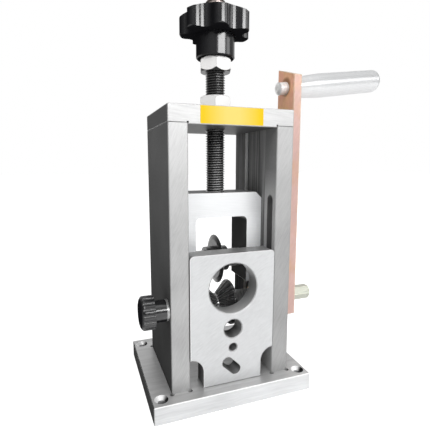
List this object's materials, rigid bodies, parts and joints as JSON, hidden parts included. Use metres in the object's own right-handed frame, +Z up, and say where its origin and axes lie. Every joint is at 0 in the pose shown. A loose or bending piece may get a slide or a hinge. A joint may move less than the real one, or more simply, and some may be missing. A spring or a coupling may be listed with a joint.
{
  "type": "hand crank wire stripper",
  "caption": "Bench wire stripper: a hand crank turns a toothed V-groove feed roller under a free-wheeling round blade set by a star knob.",
  "frame": {"origin": "middle of the base plate's underside, on the bench", "axes": "+X along the drive shaft to the crank side, +Y from the wire openings to the back, +Z up along the feed screw"},
  "size_m": [0.2373, 0.108, 0.3174],
  "materials": {
    "milled_aluminium": "fine brushed",
    "black_steel": "black oxide",
    "bronze": "turned",
    "plain_steel": "turned",
    "black_plastic": "gloss",
    "zinc_steel": "bright zinc",
    "blade_steel": "dark ground",
    "roller_steel": "dark hardened",
    "plated_arm": "pinkish plating",
    "polished_aluminium": "polished"
  },
  "bodies": {
    "frame": {"base_plate": "milled_aluminium", "left_side_plate": "milled_aluminium", "right_side_plate": "milled_aluminium", "top_plate": "milled_aluminium", "base_screws": "black_steel", "top_screws": "black_steel", "left_shaft_bush": "bronze", "right_shaft_bush": "bronze"},
    "guide": {"guide_plate": "milled_aluminium", "guide_pins": "plain_steel"},
    "clamp_slide": {"clamp_washer": "zinc_steel"},
    "clamp": {"clamp_knob": "black_plastic", "clamp_stud": "plain_steel"},
    "carriage": {"blade_yoke": "milled_aluminium", "blade_axle": "plain_steel", "axle_grub_screws": "black_steel", "axle_spacers": "plain_steel", "screw_pins": "plain_steel"},
    "feed": {"feed_screw": "black_steel", "jam_nut": "zinc_steel", "star_knob": "black_plastic", "knob_bush": "plain_steel"},
    "cutting_wheel": {"cutting_blade": "blade_steel", "blade_hub": "blade_steel", "blade_clamp_ring": "blade_steel"},
    "lock": {"lock_nut": "zinc_steel"},
    "crank": {"drive_shaft": "plain_steel", "feed_roller": "roller_steel", "roller_key": "plain_steel", "shaft_sleeves": "plain_steel", "arm_spacer": "plain_steel", "crank_arm": "plated_arm", "arm_grub_screw": "black_steel", "handle_bolt": "zinc_steel", "handle_washer": "zinc_steel"},
    "grip": {"handle_grip": "polished_aluminium"}
  },
  "joints": [
    {"name": "guide_height", "type": "slide", "parent": "frame", "child": "guide", "axis": [0, 0, 1], "range_m": [0, 0.055]},
    {"name": "clamp_travel", "type": "slide", "parent": "frame", "child": "clamp_slide", "axis": [-1, 0, 0], "range_m": [0, 0.0025]},
    {"name": "clamp_turn", "type": "hinge", "parent": "clamp_slide", "child": "clamp", "pos_m": [-0.0508, -0.0332, 0.0786], "axis": [-1, 0, 0], "range_deg": [-1, 721]},
    {"name": "blade_height", "type": "slide", "parent": "frame", "child": "carriage", "axis": [0, 0, 1], "range_m": [-0.0095, 0.05]},
    {"name": "feed_turn", "type": "hinge", "parent": "carriage", "child": "feed", "pos_m": [0, -0.0014, 0.23], "axis": [0, 0, 1], "range_deg": [-1711, 9002]},
    {"name": "blade_spin", "type": "hinge", "parent": "carriage", "child": "cutting_wheel", "pos_m": [0, -0.0014, 0.1064], "axis": [1, 0, 0], "continuous": true},
    {"name": "lock_turn", "type": "hinge", "parent": "frame", "child": "lock", "pos_m": [0, -0.0014, 0.2365], "axis": [0, 0, 1], "range_deg": [0, 90]},
    {"name": "crank_turn", "type": "hinge", "parent": "frame", "child": "crank", "pos_m": [0, -0.0014, 0.0652], "axis": [1, 0, 0], "continuous": true},
    {"name": "grip_spin", "type": "hinge", "parent": "crank", "child": "grip", "pos_m": [0.0703, -0.0014, 0.2552], "axis": [0.9903, 0, 0.1392], "continuous": true}
  ],
  "couplings": [
    {"joint": "clamp_turn", "follows": "clamp_travel", "rad_per_m": 5026.5},
    {"joint": "feed_turn", "follows": "blade_height", "rad_per_m": 3141.6}
  ]
}
